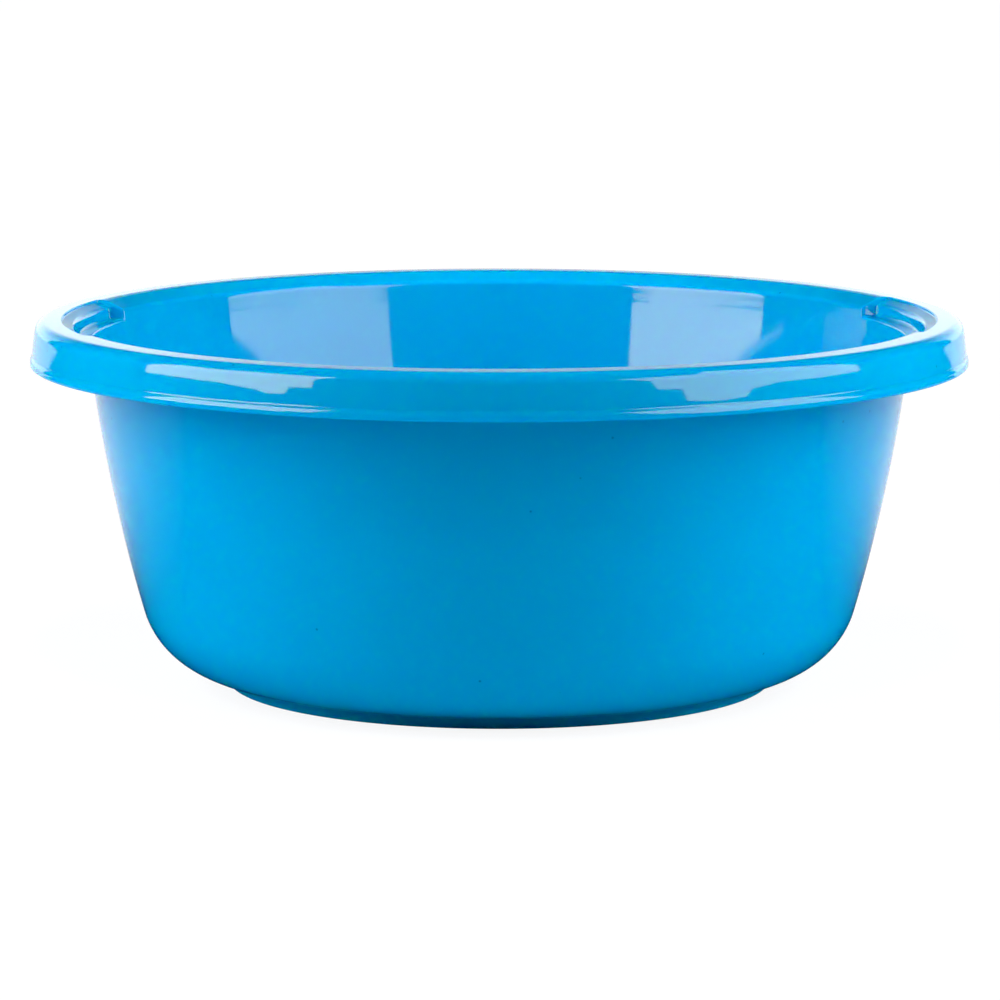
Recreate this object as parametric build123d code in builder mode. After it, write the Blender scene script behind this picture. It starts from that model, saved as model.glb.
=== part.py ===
from build123d import *
import math
import os

# A round washing up bowl, moulded in one piece, in millimetres.
# It stands on the XY plane, its axis is the Z axis, and its two hand recesses face +X and -X.

# Driving sizes of the whole bowl
overall_diameter = 360.0
overall_height = 141.4
wall = 2.0

# Body: a flat base, a round corner and a side that bows outwards
base_corner_margin = 23.4
base_corner_radius = 31.6
body_bulge = 3.5

# Foot ring under the base, and the mark that the moulding gate leaves inside it
foot_diameter = 209.8
foot_height = 4.6
foot_width = 2.8
foot_lean = 0.4
foot_chamfer = 0.7
gate_diameter = 6.0
gate_height = 0.5

# Rim: a sloping inner face, a crest, a nearly flat top, a rounded shoulder and a skirt with a lip
rim_width = 23.5
inner_slope_angle = 22.0
crest_setback = 13.5
shoulder_fall = 0.3
skirt_depth = 17.2
skirt_flare = 0.9
lip_height = 3.8
lip_projection = 1.0
lip_chamfer = 0.8

# Roundings on the back of the sheet, where the front is rounder by the wall
mouth_back_rounding = 0.5
crest_back_rounding = 2.0
shoulder_back_rounding = 3.5
recess_edge_back_rounding = 0.3

# Hand recess: the inner edge of the rim is set back here, down to a ledge in the side
recess_count = 2
recess_length = 115.0
recess_setback = 5.6
recess_depth = 7.6
recess_wall_lean = 0.6
recess_corner_radius = 1.2
ledge_root_radius = 1.5
riser_setback = 12.5
riser_height = 1.0
cut_overrun = 6.0

# Places in a section that follow from the sizes above, as (distance from the axis, height)
lip_radius = overall_diameter / 2
mouth_radius = lip_radius - rim_width
foot_radius = foot_diameter / 2
base_top = foot_height + wall
base_middle = foot_height + wall / 2
base_corner = (foot_radius + base_corner_margin, base_top)

slope = math.radians(inner_slope_angle)
crest_rounding = wall + crest_back_rounding
crest = (lip_radius - crest_setback, overall_height)
slope_top = (
    crest[0] - crest_rounding * math.sin(slope),
    crest[1] - crest_rounding * (1 - math.cos(slope)),
)
mouth = (mouth_radius, slope_top[1] - (slope_top[0] - mouth_radius) * math.tan(slope))
skirt_foot = (lip_radius - lip_projection, overall_height - skirt_depth)
shoulder = (skirt_foot[0] - skirt_flare, overall_height - shoulder_fall)
skirt_lean = math.atan2(skirt_flare, shoulder[1] - skirt_foot[1])
skirt_foot_back = (
    skirt_foot[0] - wall * math.cos(skirt_lean),
    skirt_foot[1] - wall * math.sin(skirt_lean),
)
lip_top = skirt_foot_back[1] + lip_height

ledge_root = (mouth_radius + recess_setback, overall_height - recess_depth)
riser_foot = (lip_radius - riser_setback, overall_height - riser_height)
recess_edge_radius = ledge_root[0] + recess_wall_lean
recess_edge = (
    recess_edge_radius,
    riser_foot[1] - (riser_foot[0] - recess_edge_radius) * math.tan(slope),
)
open_radius = mouth_radius - cut_overrun
open_height = overall_height + cut_overrun
sky_height = open_height + cut_overrun
parting_height = ledge_root[1] - 2 * wall

# Outlines in the section
pocket_outline = [
    (open_radius, ledge_root[1]),
    ledge_root,
    recess_edge,
    riser_foot,
    (riser_foot[0], open_height),
    (open_radius, open_height),
]
lip_outline = [
    skirt_foot_back,
    (lip_radius, skirt_foot_back[1]),
    (lip_radius, lip_top),
    (skirt_foot[0] - wall / 2, lip_top),
]
foot_outline = [
    (foot_radius - foot_width, 0),
    (foot_radius, 0),
    (foot_radius + foot_lean, base_middle),
    (foot_radius - foot_width - foot_lean, base_middle),
]
gate_outline = [
    (0, foot_height - gate_height),
    (gate_diameter / 2, foot_height - gate_height),
    (gate_diameter / 2, base_middle),
    (0, base_middle),
]

# Angles about the axis: a recess, and the stretch that its sheet and end walls take
recess_angle = math.degrees(recess_length / mouth_radius)
backed_angle = recess_angle + 2 * math.degrees(wall / mouth_radius)
pitch_angle = 360 / recess_count


def corners(places):
    """Give the corners at these places in the line or the section that is being drawn."""
    return [vertices().sort_by_distance(place)[0] for place in places]


def draw_front():
    """Draw the front of the sheet: up the inside, over the rim and down the skirt."""
    Line((0, base_top), base_corner)
    SagittaArc(base_corner, mouth, -body_bulge)
    Line(mouth, slope_top)
    JernArc(crest, (-1, 0), crest_rounding, inner_slope_angle)
    TangentArc(crest, shoulder, tangent=(1, 0))
    Line(shoulder, skirt_foot)
    fillet(corners([base_corner]), base_corner_radius)
    fillet(corners([mouth]), wall + mouth_back_rounding)
    fillet(corners([shoulder]), wall + shoulder_back_rounding)


def section_planes(first_angle):
    """Give the upright planes of the sections that start at an angle about the axis, a pitch apart."""
    directions = [Vector(1, 0, 0).rotate(Axis.Z, first_angle + i * pitch_angle) for i in range(recess_count)]
    return [Plane(origin=(0, 0, 0), x_dir=out, z_dir=out.rotate(Axis.Z, -90)) for out in directions]


def is_wall_end(edge):
    """Tell whether a straight edge is where the wall of a pocket meets one of its ends."""
    place = edge @ 0.5
    distance = math.hypot(place.X, place.Y)
    return ledge_root[0] < distance < recess_edge[0] and place.Z < recess_edge[1]


# The bowl cut through its axis: the sheet with its lip, its foot ring and the gate mark
with BuildSketch() as plain_section:
    with BuildLine():
        draw_front()
        offset(amount=wall, side=Side.RIGHT)
    make_face()
    for outline in (lip_outline, foot_outline, gate_outline):
        with BuildLine():
            Polyline(outline, close=True)
        make_face()
    chamfer(corners(lip_outline[1:3]), lip_chamfer)
    chamfer(corners(foot_outline[:2]), foot_chamfer)

# The section is parted below the recesses: the lower part takes a full turn, the upper one stretches
with BuildSketch() as lower_section:
    add(plain_section.sketch)
    split(bisect_by=Plane.XZ.offset(-parting_height), keep=Keep.TOP)
with BuildSketch() as upper_section:
    add(plain_section.sketch)
    split(bisect_by=Plane.XZ.offset(-parting_height), keep=Keep.BOTTOM)

# What a hand recess takes away: from inside out it has a ledge, a wall, a shelf and a riser
with BuildSketch() as pocket_section:
    with BuildLine():
        Polyline(pocket_outline, close=True)
        fillet(corners([ledge_root]), ledge_root_radius)
        fillet(corners([recess_edge]), wall + recess_edge_back_rounding)
    make_face()

# The sheet behind a recess, which reaches in to the middle of the plain sheet
with BuildSketch() as backing_section:
    add(pocket_section.sketch)
    offset(amount=wall)
    with BuildLine() as core:
        draw_front()
        offset(amount=wall / 2, side=Side.RIGHT, closed=False)
        skirt_end = core.vertices().sort_by(Axis.X)[-1]
        Polyline(skirt_end, (skirt_end.X, sky_height), (0, sky_height), (0, base_middle))
    make_face(mode=Mode.SUBTRACT)

# One pocket, with its ends rounded, facing +X
with BuildPart() as pocket:
    with BuildSketch(section_planes(-recess_angle / 2)[0]):
        add(pocket_section.sketch)
    revolve(axis=Axis.Z, revolution_arc=recess_angle)
    fillet(pocket.edges().filter_by(GeomType.LINE).filter_by(is_wall_end), recess_corner_radius)

with BuildPart() as bowl:
    # Below the parting height, the body and the lip go all the way round
    with BuildSketch(section_planes(backed_angle / 2)[0]):
        add(lower_section.sketch)
    revolve(axis=Axis.Z)
    # Above it, the plain stretches of the rim, between the recesses
    with BuildSketch(*section_planes(backed_angle / 2)):
        add(upper_section.sketch)
    revolve(axis=Axis.Z, revolution_arc=pitch_angle - backed_angle)
    # And the stretches that hold a recess, with the sheet behind it
    with BuildSketch(*section_planes(-backed_angle / 2)):
        add(upper_section.sketch)
        add(backing_section.sketch)
    revolve(axis=Axis.Z, revolution_arc=backed_angle)
    with PolarLocations(0, recess_count):
        add(pocket.part, mode=Mode.SUBTRACT)

bowl.part.label = "bowl"
os.makedirs("parts", exist_ok=True)
export_step(bowl.part, "parts/bowl.step")
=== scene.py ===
import math

import bpy
from mathutils import Euler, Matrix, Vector


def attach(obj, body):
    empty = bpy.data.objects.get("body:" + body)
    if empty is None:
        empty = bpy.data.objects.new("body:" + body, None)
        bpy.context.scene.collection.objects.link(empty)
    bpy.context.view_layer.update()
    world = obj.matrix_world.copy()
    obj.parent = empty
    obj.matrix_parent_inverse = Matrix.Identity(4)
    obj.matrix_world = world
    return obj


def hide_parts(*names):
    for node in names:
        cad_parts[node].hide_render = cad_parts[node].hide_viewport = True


# A round washing up bowl on a pale floor, in metres.
# Its axis is the Z axis and its two hand recesses face +X and -X.
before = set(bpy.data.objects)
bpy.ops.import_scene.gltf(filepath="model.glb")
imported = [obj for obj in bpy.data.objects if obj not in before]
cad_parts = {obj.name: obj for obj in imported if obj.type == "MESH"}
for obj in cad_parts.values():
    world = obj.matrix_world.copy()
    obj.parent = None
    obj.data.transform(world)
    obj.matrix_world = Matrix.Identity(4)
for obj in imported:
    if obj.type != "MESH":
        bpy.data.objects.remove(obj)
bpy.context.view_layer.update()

# Places in the bowl's section are pairs of a distance from the axis and a height
MM = 0.001
WALL = 2.0 * MM
HEIGHT = 141.4 * MM

# Body: a flat base, a round corner and a side that is an arc about a far centre
FLOOR_HEIGHT = 6.6 * MM
BASE_HEIGHT = 4.6 * MM
CORNER_RADIUS = 31.6 * MM
CORNER_CENTRE = (104.96 * MM, 38.2 * MM)
SIDE_RADIUS = 637.8 * MM
SIDE_CENTRE = (-477.7 * MM, 205.5 * MM)
SIDE_TOP = 130.0 * MM
SIDE_BACK_TOP = 129.0 * MM

# Foot ring, and the mark of the moulding gate inside it
FOOT_RADIUS = 104.9 * MM
FOOT_WIDTH = 2.8 * MM
FOOT_LEAN = 0.4 * MM
FOOT_ROUNDING = 0.7 * MM
FOOT_ROOT_ROUNDING = 0.5 * MM
UNDERSIDE_OUTER = FOOT_RADIUS * 0.8
UNDERSIDE_INNER = FOOT_RADIUS * 0.4
GATE_RADIUS = 3.0 * MM
GATE_HEIGHT = 0.5 * MM
GATE_ROUNDING = 0.15 * MM

# Rim between the recesses, from the mouth up to the crest and out to the skirt
MOUTH = (156.5 * MM, 137.7 * MM)
MOUTH_ROUNDING = 2.5 * MM
SLOPE_TOP = (164.0 * MM, 141.07 * MM)
SLOPE_TOP_ROUNDING = 4.0 * MM
CREST = (166.1 * MM, HEIGHT)
CREST_ROUNDING = 11.0 * MM
RIM_INNER = (169.0 * MM, 141.33 * MM)
RIM_MIDDLE = (172.6 * MM, 141.24 * MM)
SHOULDER = (177.4 * MM, 141.1 * MM)
SHOULDER_ROUNDING = 4.5 * MM

# Its back, where the slope ends under the crest and the mouth's corner lies just outside the side
RIM_BACK = (170.0 * MM, HEIGHT - WALL)
SLOPE_END = 165.72 * MM
CREST_BACK_ROUNDING = 2.0 * MM
MOUTH_BACK_HEIGHT = 134.0 * MM
MOUTH_BACK_SHIFT = 0.25 * MM
MOUTH_BACK_ROUNDING = 0.5 * MM

# Skirt, and the lip at its foot
SKIRT_BEND = (178.85 * MM, 131.5 * MM)
SKIRT_ROUNDING = 60.0 * MM
SKIRT_FOOT = (179.03 * MM, 127.9 * MM)
LIP_RADIUS = 179.94 * MM
LIP_INNER_RADIUS = 177.0 * MM
LIP_BOTTOM = 124.1 * MM
LIP_EDGE = (LIP_RADIUS, 126.66 * MM)
LIP_BULGE = 4.0 * MM
LIP_ROUNDING = 0.7 * MM
LIP_INNER_ROUNDING = 0.3 * MM

# Hand recess: a ledge in the side, a wall, a shelf and a riser, and the sheet behind them
LEDGE_START_ROUNDING = 0.5 * MM
LEDGE_ROOT = (162.1 * MM, 133.8 * MM)
LEDGE_ROOT_ROUNDING = 1.5 * MM
RECESS_EDGE = (162.7 * MM, 138.5 * MM)
RECESS_EDGE_ROUNDING = 2.3 * MM
RISER_FOOT = (167.5 * MM, 140.4 * MM)
RISER_ROUNDING = 0.4 * MM
RISER_BACK = (169.5 * MM, 139.05 * MM)
RECESS_EDGE_BACK = (164.7 * MM, 137.1 * MM)
RECESS_EDGE_BACK_ROUNDING = 0.3 * MM
LEDGE_BACK = (164.1 * MM, 131.8 * MM)
LEDGE_BACK_ROUNDING = 3.5 * MM
RECESS_ANGLE = math.radians(42.1)
RECESS_BLEND = math.radians(0.85)

# How finely the section is divided: steps of an arc, and points of each stretch
ARC_STEP = math.radians(9)
FINE_ARC_STEP = math.radians(3)
LEAST_ARC_STEPS = 4
LEAST_TURN = math.radians(0.1)
SHORTEST_SPAN = 1e-12
BASE_SHARES = (0.15, 0.4, 0.7, 0.95)
CORNER_STEPS = 20
SIDE_STEPS = 24
RIM_FRONT_POINTS = 40
RIM_TOP_POINTS = 22
RIM_BACK_POINTS = 44
PLAIN_PARTING = 163.0 * MM
RECESS_PARTING = 164.5 * MM

# How finely it is divided about the axis, with closer columns where a recess begins and ends
COLUMNS = 264
BLEND_COLUMNS = 10
BLEND_SPREAD = 1.1
ANGLE_DIGITS = 6

# Plastic: its colours, and how many bumps to a metre each unevenness has
IOR = 1.49
SUBSURFACE_RADIUS = (0.2, 0.6, 1.5)
SUBSURFACE_SCALE = 2.5 * MM
PIGMENT_COLOURS = ((0.0, 0.315, 0.58, 1.0), (0.0, 0.335, 0.61, 1.0))
PIGMENT_SCALE = 35.0
PIGMENT_DETAIL = 3.0
SPECK_COLOUR = (0.0, 0.16, 0.33, 1.0)
SPECK_CELLS = 170.0
SPECK_CHANCE = (0.93, 0.95)
SPECK_EDGE = (0.12, 0.04)
WEAR_SCALE = 60.0
WEAR_DETAIL = 4.0
WEAR_ROUGHNESS = (0.03, 0.07)
WAVE_SCALE = 30.0
WAVE_DEPTH = 0.03 * MM
GRAIN_SCALE = 280.0
GRAIN_DEPTH = 0.002 * MM

# The camera, turned about the bowl's axis, and everything around the bowl turns with it
VIEW_TURN = math.radians(-2.1)
CAMERA_LENS = 188.5
CAMERA_SHIFT = 0.0008
CAMERA_PLACE = (-0.0733, -1.9987, 0.370)
CAMERA_TILT = math.radians(90 - 8.54)

# Lamps: azimuths to the right of the camera and elevations are in degrees
LAMP_DISTANCE = 1.6
SOFT_BOX_SIZE = 1.2
SOFT_BOX_TARGET = (0.0, 0.0, 0.1)
SIDE_BOX_AZIMUTH, SIDE_BOX_ELEVATION, SIDE_BOX_STRENGTH = 82, 26, 7.0
FRONT_BOX_AZIMUTH, FRONT_BOX_ELEVATION, FRONT_BOX_STRENGTH = 60, 35, 1.2
BEAM_ELEVATION = 54
BEAM_CONE = 17
BEAM_TARGET = (0.0, 0.12, 0.11)
BEAM_ENERGY = 66
BEAM_SOFTNESS = 0.15

# Glowing panels that only reflections show. Each edge across one has the azimuth and the height
# of its lower end, then of its upper end. Their pale yellow turns pale blue on the bowl
PANEL_DISTANCE = 1.2
PANEL_COLOUR = (1.0, 0.86, 0.5, 1.0)
LEFT_PANEL_STRENGTH = 6.3
LEFT_PANEL_BOUNCES = 2
LEFT_PANEL_EDGES = [
    (-42.3, 0.280, -40.7, 0.93),
    (-48.0, 0.268, -44.0, 0.95),
    (-48.6, 0.200, -45.0, 0.96),
    (-53.0, 0.186, -50.0, 0.98),
    (-56.0, 0.220, -55.0, 1.00),
    (-66.0, 0.240, -64.0, 1.04),
    (-77.0, 0.233, -75.0, 0.92),
    (-88.5, 0.217, -89.5, 0.92),
]
RIGHT_PANEL_STRENGTH = 4.0
RIGHT_PANEL_BOUNCES = 1
RIGHT_PANEL_EDGES = [
    (35.3, 0.285, 29.3, 0.85),
    (41.5, 0.270, 36.0, 1.00),
    (42.2, 0.135, 37.0, 1.02),
    (50.0, 0.118, 46.0, 1.18),
    (56.8, 0.135, 55.0, 1.30),
    (58.5, 0.220, 58.0, 1.34),
    (66.0, 0.245, 66.5, 1.70),
    (78.0, 0.228, 79.0, 2.10),
    (88.3, 0.215, 87.5, 2.30),
    (91.0, 0.212, 88.5, 0.45),
]

# Surroundings: a faint light on all sides, and a glow low down behind the bowl that reflections
# show. Each pair is where it starts and where it is full: upwards and backwards as parts of a
# direction one long, and the edges as how far to the side of straight behind, per unit behind
FILL_LIGHT = 0.04
GLOW_STRENGTH = 1.6
GLOW_MIDDLE_SHARE = 0.45
GLOW_TOP = (0.42, 0.10)
GLOW_BACKWARDS = (0.0, 0.1)
GLOW_NEAR_EDGE = (0.03, 0.09)
GLOW_FAR_EDGE = (0.68, 0.62)

# Floor: what lamps light, what the camera sees, and what reflections show of it, which is painted light
# and shade: dark near the bowl's foot as a painted shadow of the bowl, and in front, and white far
# behind. Its distances are from the bowl's axis, and its edge at the far side is per unit behind, as the
# glow's are
FLOOR_SIZE = 8
FLOOR_COLOUR = (0.85, 0.85, 0.85, 1.0)
SHADOW_COLOUR = (0.12, 0.12, 0.12, 1.0)
FLOOR_WHITE_DISTANCES = (0.5, 2.0)
FLOOR_NEAR_WHITE = 0.9
FLOOR_GLOW_START = -0.05
FLOOR_GLOW_NEAR = (0.17, 0.45)
FLOOR_GLOW_FAR = (0.8, 1.1)
FLOOR_BACKWARDS = (0.0, 0.1)
FLOOR_FAR_EDGE = (0.94, 0.86)


def between(a, b, share):
    """Give the point at this share of the way from a to b."""
    return (a[0] + (b[0] - a[0]) * share, a[1] + (b[1] - a[1]) * share)


def on_circle(centre, radius, angle):
    """Give the point of a circle at this angle."""
    return (centre[0] + radius * math.cos(angle), centre[1] + radius * math.sin(angle))


def rounded(corners, step=ARC_STEP):
    """Give a line through corners, each of them a distance, a height and a rounding."""
    points = [corners[0][:2]]
    for before, here, after in zip(corners, corners[1:], corners[2:]):
        back_way = Vector((before[0] - here[0], before[1] - here[1])).normalized()
        on_way = Vector((after[0] - here[0], after[1] - here[1])).normalized()
        turn = math.pi - back_way.angle(on_way)
        if here[2] == 0 or turn < LEAST_TURN:
            points.append(here[:2])
            continue
        start = Vector(here[:2]) + back_way * here[2] * math.tan(turn / 2)
        side = 1 if back_way.cross(on_way) > 0 else -1
        centre = start + Vector((-back_way.y, back_way.x)) * side * here[2]
        first = math.atan2(start.y - centre.y, start.x - centre.x)
        count = max(LEAST_ARC_STEPS, math.ceil(turn / step))
        points += [on_circle(centre, here[2], first - side * turn * i / count) for i in range(count + 1)]
    points.append(corners[-1][:2])
    return points


def spaced(line, count):
    """Give a number of points along a line, with the same distance between them."""
    lengths = [0.0]
    for a, b in zip(line, line[1:]):
        lengths.append(lengths[-1] + math.dist(a, b))
    points = []
    span = 0
    for i in range(count):
        place = lengths[-1] * i / (count - 1)
        while span < len(line) - 2 and lengths[span + 1] < place:
            span += 1
        share = (place - lengths[span]) / max(lengths[span + 1] - lengths[span], SHORTEST_SPAN)
        points.append(between(line[span], line[span + 1], min(share, 1.0)))
    return points


def side_point(height, extra=0.0):
    """Give the point of the side at this height, or of the line that is this far outside it."""
    rise = height - SIDE_CENTRE[1]
    return (SIDE_CENTRE[0] + math.sqrt((SIDE_RADIUS + extra) ** 2 - rise ** 2), height)


def side_line(low, high, extra=0.0):
    """Give points up the side between two heights."""
    return [side_point(low + (high - low) * i / SIDE_STEPS, extra) for i in range(SIDE_STEPS + 1)]


def corner_line(extra=0.0):
    """Give points round the corner of the base, from the flat base up to the side."""
    last = math.atan2(CORNER_CENTRE[1] - SIDE_CENTRE[1], CORNER_CENTRE[0] - SIDE_CENTRE[0])
    first = -math.pi / 2
    angles = [first + (last - first) * i / CORNER_STEPS for i in range(CORNER_STEPS + 1)]
    return [on_circle(CORNER_CENTRE, CORNER_RADIUS + extra, angle) for angle in angles]


def in_two_stretches(rim, parting):
    """Space the points of a rim's front evenly up to a distance from the axis, and again from there."""
    place = next(i for i, point in enumerate(rim) if point[0] > parting)
    return spaced(rim[:place + 1], RIM_FRONT_POINTS) + spaced(rim[place:], RIM_TOP_POINTS)[1:]


def plain_rim_front():
    """Give the inside of the rim between the recesses: side, mouth, slope, crest and top."""
    rim = rounded([
        (*side_point(SIDE_TOP), 0),
        (*side_point((SIDE_TOP + MOUTH[1]) / 2), 0),
        (*MOUTH, MOUTH_ROUNDING),
        (*SLOPE_TOP, SLOPE_TOP_ROUNDING),
        (*CREST, CREST_ROUNDING),
        (*RIM_INNER, 0),
    ], FINE_ARC_STEP)
    return in_two_stretches(rim, PLAIN_PARTING)


def recess_front():
    """Give the inside of the rim in a recess: side, ledge, wall, shelf, riser and top."""
    rim = rounded([
        (*side_point(SIDE_TOP), 0),
        (*side_point(LEDGE_ROOT[1]), LEDGE_START_ROUNDING),
        (*LEDGE_ROOT, LEDGE_ROOT_ROUNDING),
        (*RECESS_EDGE, RECESS_EDGE_ROUNDING),
        (*RISER_FOOT, RISER_ROUNDING),
        (RISER_FOOT[0], HEIGHT, RISER_ROUNDING),
        (*RIM_INNER, 0),
    ])
    return in_two_stretches(rim, RECESS_PARTING)


def plain_rim_back():
    """Give the back of the rim between the recesses, from the top in to the side."""
    slope = math.atan2(SLOPE_TOP[1] - MOUTH[1], SLOPE_TOP[0] - MOUTH[0])
    on_slope = (MOUTH[0] + math.sin(slope) * WALL, MOUTH[1] - math.cos(slope) * WALL)
    mouth_radius = side_point(MOUTH_BACK_HEIGHT, WALL)[0] + MOUTH_BACK_SHIFT
    mouth = (mouth_radius, on_slope[1] - (on_slope[0] - mouth_radius) * math.tan(slope))
    rim = rounded([
        (*RIM_BACK, 0),
        (SLOPE_END + WALL * math.tan(slope / 2), HEIGHT - WALL, CREST_BACK_ROUNDING),
        (*mouth, MOUTH_BACK_ROUNDING),
        (*side_point(SIDE_BACK_TOP, WALL), 0),
    ])
    return spaced(rim, RIM_BACK_POINTS)


def recess_back():
    """Give the back of the rim in a recess, from the top in to the side."""
    rim = rounded([
        (*RIM_BACK, 0),
        (*RISER_BACK, 0),
        (*RECESS_EDGE_BACK, RECESS_EDGE_BACK_ROUNDING),
        (*LEDGE_BACK, LEDGE_BACK_ROUNDING),
        (*side_point(LEDGE_BACK[1], WALL), 0),
        (*side_point(SIDE_BACK_TOP, WALL), 0),
    ])
    return spaced(rim, RIM_BACK_POINTS)


def whole_section(front, back):
    """Give the closed section of the bowl, with this front and this back of its rim."""
    points = [(0.0, FLOOR_HEIGHT)]
    points += [(CORNER_CENTRE[0] * share, FLOOR_HEIGHT) for share in BASE_SHARES]
    points += corner_line()
    corner_top = points[-1][1]
    points += side_line(corner_top, SIDE_TOP)[1:-1]
    points += front
    points += rounded([
        (*RIM_INNER, 0),
        (*RIM_MIDDLE, 0),
        (*SHOULDER, SHOULDER_ROUNDING),
        (*SKIRT_BEND, SKIRT_ROUNDING),
        (*SKIRT_FOOT, 0),
        (*LIP_EDGE, LIP_BULGE),
        (LIP_RADIUS, LIP_BOTTOM, LIP_ROUNDING),
        (LIP_INNER_RADIUS, LIP_BOTTOM, LIP_INNER_ROUNDING),
        (SKIRT_BEND[0] - WALL, SKIRT_BEND[1], SKIRT_ROUNDING),
        (SHOULDER[0] - WALL, SHOULDER[1] - WALL, SHOULDER_ROUNDING - WALL),
        (*RIM_BACK, 0),
    ])[1:-1]
    points += back
    points += side_line(corner_top, SIDE_BACK_TOP, WALL)[::-1][1:-1]
    points += corner_line(WALL)[::-1][:-1]
    points += rounded([
        (FOOT_RADIUS + FOOT_LEAN, BASE_HEIGHT, 0),
        (FOOT_RADIUS, 0, FOOT_ROUNDING),
        (FOOT_RADIUS - FOOT_WIDTH, 0, FOOT_ROUNDING),
        (FOOT_RADIUS - FOOT_WIDTH - FOOT_LEAN, BASE_HEIGHT, FOOT_ROOT_ROUNDING),
        (UNDERSIDE_OUTER, BASE_HEIGHT, 0),
    ])
    points += rounded([
        (UNDERSIDE_INNER, BASE_HEIGHT, 0),
        (GATE_RADIUS, BASE_HEIGHT, GATE_ROUNDING),
        (GATE_RADIUS, BASE_HEIGHT - GATE_HEIGHT, GATE_ROUNDING),
        (0.0, BASE_HEIGHT - GATE_HEIGHT, 0),
    ])
    return points


def recess_share(angle):
    """Give how much of the recess there is at this angle about the axis, from 0 to 1."""
    from_middle = abs((angle + math.pi / 2) % math.pi - math.pi / 2)
    place = (RECESS_ANGLE / 2 - from_middle) / RECESS_BLEND + 0.5
    place = min(max(place, 0.0), 1.0)
    return place * place * (3 - 2 * place)


def column_angles():
    """Give the angles of the columns, which are closer together at the ends of the recesses."""
    angles = {round(2 * math.pi * i / COLUMNS, ANGLE_DIGITS) for i in range(COLUMNS)}
    for middle in (0.0, math.pi):
        for side in (-1, 1):
            for i in range(BLEND_COLUMNS + 1):
                step = (i / BLEND_COLUMNS - 0.5) * RECESS_BLEND * BLEND_SPREAD
                angle = (middle + side * RECESS_ANGLE / 2 + step) % (2 * math.pi)
                angles.add(round(angle, ANGLE_DIGITS))
    return sorted(angles)


def bowl_mesh():
    """Build the bowl's skin: a column of points for each angle, joined into faces."""
    plain = whole_section(plain_rim_front(), plain_rim_back())
    recess = whole_section(recess_front(), recess_back())
    angles = column_angles()
    size = len(plain) - 2
    vertices = [(0.0, 0.0, plain[0][1])]
    for angle in angles:
        share = recess_share(angle)
        for a, b in zip(plain[1:-1], recess[1:-1]):
            radius, height = between(a, b, share)
            vertices.append((radius * math.cos(angle), radius * math.sin(angle), height))
    vertices.append((0.0, 0.0, plain[-1][1]))
    last = len(vertices) - 1
    faces = []
    for i in range(len(angles)):
        here = 1 + i * size
        there = 1 + (i + 1) % len(angles) * size
        faces.append((0, here, there))
        for j in range(size - 1):
            faces.append((here + j, here + j + 1, there + j + 1, there + j))
        faces.append((here + size - 1, last, there + size - 1))
    mesh = bpy.data.meshes.new("bowl_shell")
    mesh.from_pydata(vertices, [], faces)
    mesh.validate()
    mesh.shade_smooth()
    return mesh


def turned(x, y, z):
    """Turn a place in the photograph's frame, where the camera looks along Y, into the bowl's."""
    return Vector((x, y, z)) @ Euler((0, 0, VIEW_TURN)).to_matrix().transposed()


def placed_light(data, azimuth, elevation, target):
    """Put a light at an azimuth to the right of the camera, facing a place, out of sight."""
    azimuth, elevation = math.radians(azimuth), math.radians(elevation)
    flat = LAMP_DISTANCE * math.cos(elevation)
    rise = LAMP_DISTANCE * math.sin(elevation)
    light = bpy.data.objects.new(data.name, data)
    light.location = turned(flat * math.sin(azimuth), -flat * math.cos(azimuth), rise)
    light.location += Vector((0.0, 0.0, target[2]))
    facing = turned(*target) - light.location
    light.rotation_euler = facing.to_track_quat("-Z", "Y").to_euler()
    light.visible_camera = False
    light.visible_glossy = False
    bpy.context.scene.collection.objects.link(light)


def soft_light(name, azimuth, elevation, strength):
    """Add a square soft box that faces the middle of the bowl."""
    data = bpy.data.lights.new(name, "AREA")
    data.shape = "SQUARE"
    data.size = SOFT_BOX_SIZE
    data.energy = strength * math.pi * SOFT_BOX_SIZE ** 2
    placed_light(data, azimuth, elevation, SOFT_BOX_TARGET)


def narrow_light(name, azimuth, elevation, cone, target, energy):
    """Add a soft-edged beam that lights one part of the bowl."""
    data = bpy.data.lights.new(name, "SPOT")
    data.energy = energy
    data.spot_size = math.radians(cone)
    data.spot_blend = 1.0
    data.shadow_soft_size = BEAM_SOFTNESS
    placed_light(data, azimuth, elevation, target)


def connect(tree, value, socket):
    """Give a socket its value, which is another node's output, a number or a colour."""
    if isinstance(value, bpy.types.NodeSocket):
        tree.links.new(value, socket)
    else:
        socket.default_value = value


def worked_out(tree, operation, *values):
    """Add a node that works out one value from one or two others."""
    node = tree.nodes.new("ShaderNodeMath")
    node.operation = operation
    for value, socket in zip(values, node.inputs):
        connect(tree, value, socket)
    return node.outputs[0]


def ranged(tree, value, start, end, least=0.0, most=1.0, kind="LINEAR"):
    """Add a node that goes from least to most while a value goes from start to end."""
    ramp = tree.nodes.new("ShaderNodeMapRange")
    ramp.interpolation_type = kind
    ramp.inputs["From Min"].default_value = start
    ramp.inputs["From Max"].default_value = end
    ramp.inputs["To Min"].default_value = least
    ramp.inputs["To Max"].default_value = most
    tree.links.new(value, ramp.inputs["Value"])
    return ramp.outputs["Result"]


def eased(tree, value, start, end, least=0.0):
    """Add a node that rises smoothly to 1 while a value goes from start to end."""
    if start < end:
        return ranged(tree, value, start, end, least, 1.0, "SMOOTHSTEP")
    return ranged(tree, value, end, start, 1.0, least, "SMOOTHSTEP")


def off_centre(tree, axes):
    """Work out how far to the side of straight behind the bowl a direction lies, for the camera."""
    slant = worked_out(tree, "DIVIDE", axes.outputs["X"], axes.outputs["Y"])
    level = worked_out(tree, "ADD", slant, math.tan(VIEW_TURN))
    return worked_out(tree, "ABSOLUTE", level)


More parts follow.
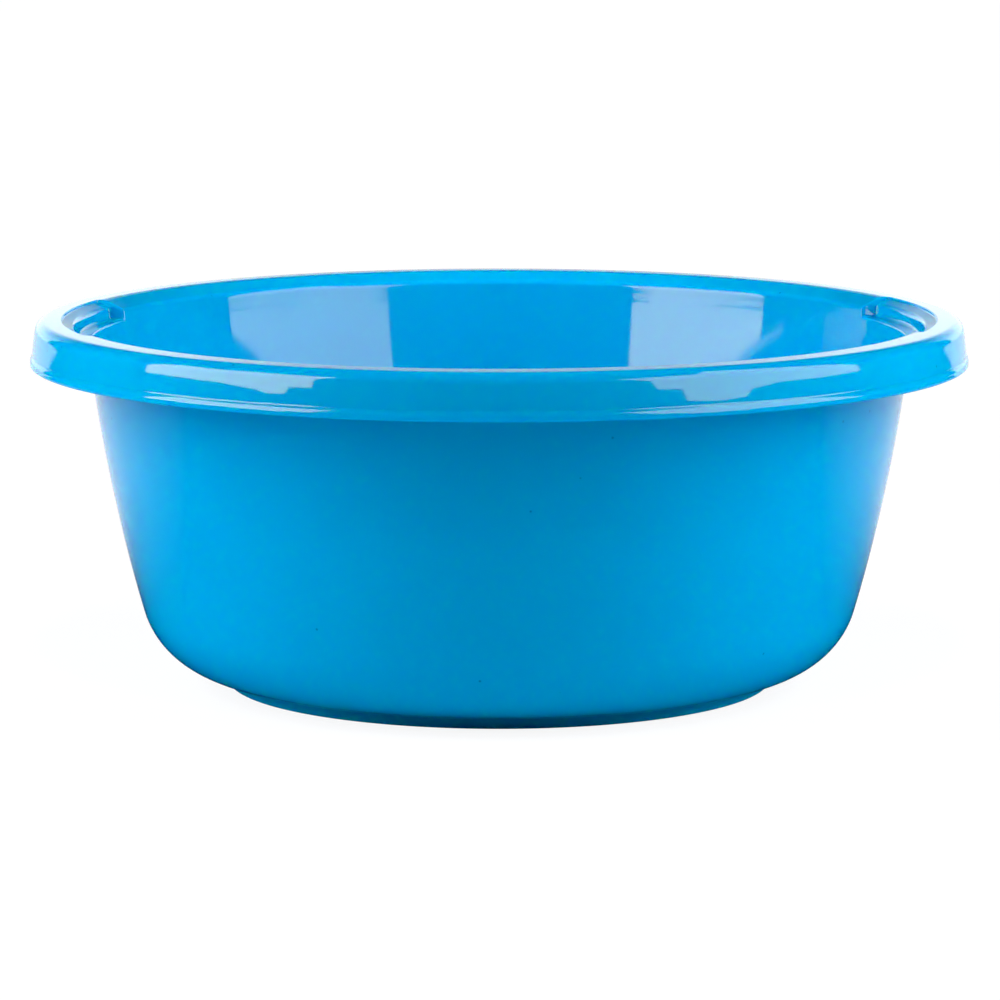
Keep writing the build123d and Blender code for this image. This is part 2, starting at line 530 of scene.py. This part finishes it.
def noise(tree, place, scale, detail=2.0):
    """Add soft random values, from 0 to 1, with this many bumps to a metre."""
    node = tree.nodes.new("ShaderNodeTexNoise")
    node.inputs["Scale"].default_value = scale
    node.inputs["Detail"].default_value = detail
    tree.links.new(place, node.inputs["Vector"])
    return node.outputs["Fac"]


def bumped(tree, height, depth, before=None):
    """Add a bump of this depth, in metres, on top of the one before."""
    bump = tree.nodes.new("ShaderNodeBump")
    bump.inputs["Distance"].default_value = depth
    tree.links.new(height, bump.inputs["Height"])
    if before is not None:
        tree.links.new(before, bump.inputs["Normal"])
    return bump.outputs["Normal"]


def mixed(tree, factor, first, second):
    """Add a node that goes from one number to another as a value goes from 0 to 1."""
    mix = tree.nodes.new("ShaderNodeMix")
    tree.links.new(factor, mix.inputs["Factor"])
    connect(tree, first, mix.inputs["A"])
    connect(tree, second, mix.inputs["B"])
    return mix.outputs["Result"]


def mixed_colour(tree, factor, first, second):
    """Add a node that goes from one colour to another as a value goes from 0 to 1."""
    mix = tree.nodes.new("ShaderNodeMix")
    mix.data_type = "RGBA"
    tree.links.new(factor, mix.inputs["Factor"])
    # The sockets for colours share their names with those for numbers and come after them
    connect(tree, first, mix.inputs[6])
    connect(tree, second, mix.inputs[7])
    return mix.outputs[2]


def mixed_shader(tree, factor, first, second):
    """Add a node that goes from one shader to another as a value goes from 0 to 1."""
    mix = tree.nodes.new("ShaderNodeMixShader")
    tree.links.new(factor, mix.inputs["Fac"])
    tree.links.new(first.outputs[0], mix.inputs[1])
    tree.links.new(second.outputs[0], mix.inputs[2])
    return mix


def empty_material(name):
    """Make a material with an output and nothing else."""
    material = bpy.data.materials.new(name)
    material.use_nodes = True
    material.node_tree.nodes.clear()
    return material, material.node_tree, material.node_tree.nodes.new("ShaderNodeOutputMaterial")


def reflected_panel(name, edges, strength, bounces):
    """Add a glowing panel that only reflections show, up to this many bounces."""
    places = []
    for low_azimuth, low_height, high_azimuth, high_height in edges:
        for azimuth, height in ((low_azimuth, low_height), (high_azimuth, high_height)):
            sideways = PANEL_DISTANCE * math.sin(math.radians(azimuth))
            forwards = PANEL_DISTANCE * math.cos(math.radians(azimuth))
            places.append(turned(sideways, -forwards, height))
    faces = [(2 * i, 2 * i + 1, 2 * i + 3, 2 * i + 2) for i in range(len(edges) - 1)]
    mesh = bpy.data.meshes.new(name)
    mesh.from_pydata(places, [], faces)
    material, tree, output = empty_material(name)
    # A reflection straight from the bowl to the panel counts as a glossy depth of 1
    path = tree.nodes.new("ShaderNodeLightPath")
    direct = worked_out(tree, "LESS_THAN", path.outputs["Glossy Depth"], bounces + 0.5)
    glow = tree.nodes.new("ShaderNodeEmission")
    glow.inputs["Color"].default_value = PANEL_COLOUR
    tree.links.new(worked_out(tree, "MULTIPLY", direct, strength), glow.inputs["Strength"])
    tree.links.new(glow.outputs["Emission"], output.inputs["Surface"])
    mesh.materials.append(material)
    panel = bpy.data.objects.new(name, mesh)
    panel.visible_camera = False
    panel.visible_diffuse = False
    panel.visible_transmission = False
    panel.visible_shadow = False
    bpy.context.scene.collection.objects.link(panel)


def plastic():
    """Make the glossy, slightly translucent plastic, with faint waves, wear and a few dark specks."""
    material = bpy.data.materials.new("bowl_plastic")
    material.use_nodes = True
    tree = material.node_tree
    nodes, links = tree.nodes, tree.links
    shader = nodes["Principled BSDF"]
    shader.inputs["IOR"].default_value = IOR
    shader.inputs["Subsurface Weight"].default_value = 1.0
    shader.inputs["Subsurface Radius"].default_value = SUBSURFACE_RADIUS
    shader.inputs["Subsurface Scale"].default_value = SUBSURFACE_SCALE
    place = nodes.new("ShaderNodeTexCoord").outputs["Object"]
    # The colour varies a little, as pigment does, and a few specks lie in it
    pigment = mixed_colour(tree, noise(tree, place, PIGMENT_SCALE, PIGMENT_DETAIL), *PIGMENT_COLOURS)
    cells = nodes.new("ShaderNodeTexVoronoi")
    cells.inputs["Scale"].default_value = SPECK_CELLS
    links.new(place, cells.inputs["Vector"])
    chance = nodes.new("ShaderNodeSeparateColor")
    links.new(cells.outputs["Color"], chance.inputs[0])
    chosen = eased(tree, chance.outputs["Red"], *SPECK_CHANCE)
    speck = worked_out(tree, "MULTIPLY", eased(tree, cells.outputs["Distance"], *SPECK_EDGE), chosen)
    links.new(mixed_colour(tree, speck, pigment, SPECK_COLOUR), shader.inputs["Base Color"])
    # Wear dulls the gloss in cloudy patches
    wear = noise(tree, place, WEAR_SCALE, WEAR_DETAIL)
    links.new(ranged(tree, wear, 0.0, 1.0, *WEAR_ROUGHNESS), shader.inputs["Roughness"])
    # Long waves of the mould and a fine unevenness bend the reflections
    waves = bumped(tree, noise(tree, place, WAVE_SCALE), WAVE_DEPTH)
    links.new(bumped(tree, noise(tree, place, GRAIN_SCALE), GRAIN_DEPTH, waves), shader.inputs["Normal"])
    return material


def floor_paint():
    """Make the pale floor: white to the camera but for faint shadows, and in reflections a painted glow
    by its place, with painted shade near the bowl's foot.
    """
    material, tree, output = empty_material("floor_paint")
    nodes, links = tree.nodes, tree.links
    matt = nodes.new("ShaderNodeBsdfDiffuse")
    matt.inputs["Color"].default_value = FLOOR_COLOUR
    path = nodes.new("ShaderNodeLightPath")
    place = nodes.new("ShaderNodeTexCoord").outputs["Object"]
    axes = nodes.new("ShaderNodeSeparateXYZ")
    links.new(place, axes.inputs[0])
    length = nodes.new("ShaderNodeVectorMath")
    length.operation = "LENGTH"
    links.new(place, length.inputs[0])
    distance = length.outputs["Value"]
    # The camera sees it glow white, with the object's shadow added as a faint grey
    clear = ranged(tree, distance, *FLOOR_WHITE_DISTANCES, FLOOR_NEAR_WHITE)
    white = nodes.new("ShaderNodeEmission")
    links.new(clear, white.inputs["Strength"])
    faint = nodes.new("ShaderNodeBsdfDiffuse")
    faint.inputs["Color"].default_value = SHADOW_COLOUR
    seen = nodes.new("ShaderNodeAddShader")
    links.new(white.outputs[0], seen.inputs[0])
    links.new(faint.outputs[0], seen.inputs[1])
    for_camera = mixed_shader(tree, path.outputs["Is Camera Ray"], matt, seen)
    # In reflections it glows with painted light and shade: dark at the foot, a painted shadow of the
    # bowl, and in front, and far away white only behind
    backwards = worked_out(tree, "DIVIDE", axes.outputs["Y"], distance)
    rise = ranged(tree, backwards, FLOOR_GLOW_START, 1.0)
    near = worked_out(tree, "MULTIPLY", eased(tree, distance, *FLOOR_GLOW_NEAR), rise)
    within = eased(tree, off_centre(tree, axes), *FLOOR_FAR_EDGE)
    behind = worked_out(tree, "MULTIPLY", within, eased(tree, axes.outputs["Y"], *FLOOR_BACKWARDS))
    mirrored = nodes.new("ShaderNodeEmission")
    strength = mixed(tree, eased(tree, distance, *FLOOR_GLOW_FAR), near, behind)
    links.new(strength, mirrored.inputs["Strength"])
    for_gloss = mixed_shader(tree, path.outputs["Is Glossy Ray"], for_camera, mirrored)
    links.new(for_gloss.outputs[0], output.inputs["Surface"])
    return material


def studio_world():
    """Make the surroundings: white to the camera, and in reflections white low down behind the bowl."""
    world = bpy.data.worlds.new("studio")
    world.use_nodes = True
    tree = world.node_tree
    nodes, links = tree.nodes, tree.links
    background = nodes["Background"]
    path = nodes.new("ShaderNodeLightPath")
    axes = nodes.new("ShaderNodeSeparateXYZ")
    links.new(nodes.new("ShaderNodeTexCoord").outputs["Generated"], axes.inputs[0])
    sideways = off_centre(tree, axes)
    glow = eased(tree, axes.outputs["Z"], *GLOW_TOP)
    glow = worked_out(tree, "MULTIPLY", glow, eased(tree, axes.outputs["Y"], *GLOW_BACKWARDS))
    glow = worked_out(tree, "MULTIPLY", glow, eased(tree, sideways, *GLOW_NEAR_EDGE, GLOW_MIDDLE_SHARE))
    glow = worked_out(tree, "MULTIPLY", glow, eased(tree, sideways, *GLOW_FAR_EDGE))
    bright = worked_out(tree, "MULTIPLY", glow, GLOW_STRENGTH)
    fill = mixed(tree, path.outputs["Is Glossy Ray"], FILL_LIGHT, bright)
    links.new(mixed(tree, path.outputs["Is Camera Ray"], fill, 1.0), background.inputs["Strength"])
    background.inputs["Color"].default_value = (1.0, 1.0, 1.0, 1.0)
    bpy.context.scene.world = world


bowl = bpy.data.objects.new("bowl_shell", bowl_mesh())
bpy.context.scene.collection.objects.link(bowl)
bowl.data.materials.append(plastic())
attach(bowl, "root")
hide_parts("bowl")

# The floor
floor_corners = [(x * FLOOR_SIZE, y * FLOOR_SIZE, 0) for x, y in ((-1, -1), (1, -1), (1, 1), (-1, 1))]
floor_mesh = bpy.data.meshes.new("floor")
floor_mesh.from_pydata(floor_corners, [], [(0, 1, 2, 3)])
floor_mesh.materials.append(floor_paint())
floor = bpy.data.objects.new("floor", floor_mesh)
bpy.context.scene.collection.objects.link(floor)

# The camera
camera_data = bpy.data.cameras.new("camera")
camera_data.lens = CAMERA_LENS
camera_data.shift_x = CAMERA_SHIFT
camera = bpy.data.objects.new("camera", camera_data)
camera.location = CAMERA_PLACE
camera.rotation_euler = (CAMERA_TILT, 0, VIEW_TURN)
bpy.context.scene.collection.objects.link(camera)
bpy.context.scene.camera = camera

# The lights, and the panels that reflections show
soft_light("soft_box_left", -SIDE_BOX_AZIMUTH, SIDE_BOX_ELEVATION, SIDE_BOX_STRENGTH)
soft_light("soft_box_right", SIDE_BOX_AZIMUTH, SIDE_BOX_ELEVATION, SIDE_BOX_STRENGTH)
soft_light("soft_box_left_front", -FRONT_BOX_AZIMUTH, FRONT_BOX_ELEVATION, FRONT_BOX_STRENGTH)
soft_light("soft_box_right_front", FRONT_BOX_AZIMUTH, FRONT_BOX_ELEVATION, FRONT_BOX_STRENGTH)
narrow_light("beam_inside", 0, BEAM_ELEVATION, BEAM_CONE, BEAM_TARGET, BEAM_ENERGY)
reflected_panel("panel_left", LEFT_PANEL_EDGES, LEFT_PANEL_STRENGTH, LEFT_PANEL_BOUNCES)
reflected_panel("panel_right", RIGHT_PANEL_EDGES, RIGHT_PANEL_STRENGTH, RIGHT_PANEL_BOUNCES)
studio_world()

bpy.context.scene.view_settings.view_transform = "Standard"
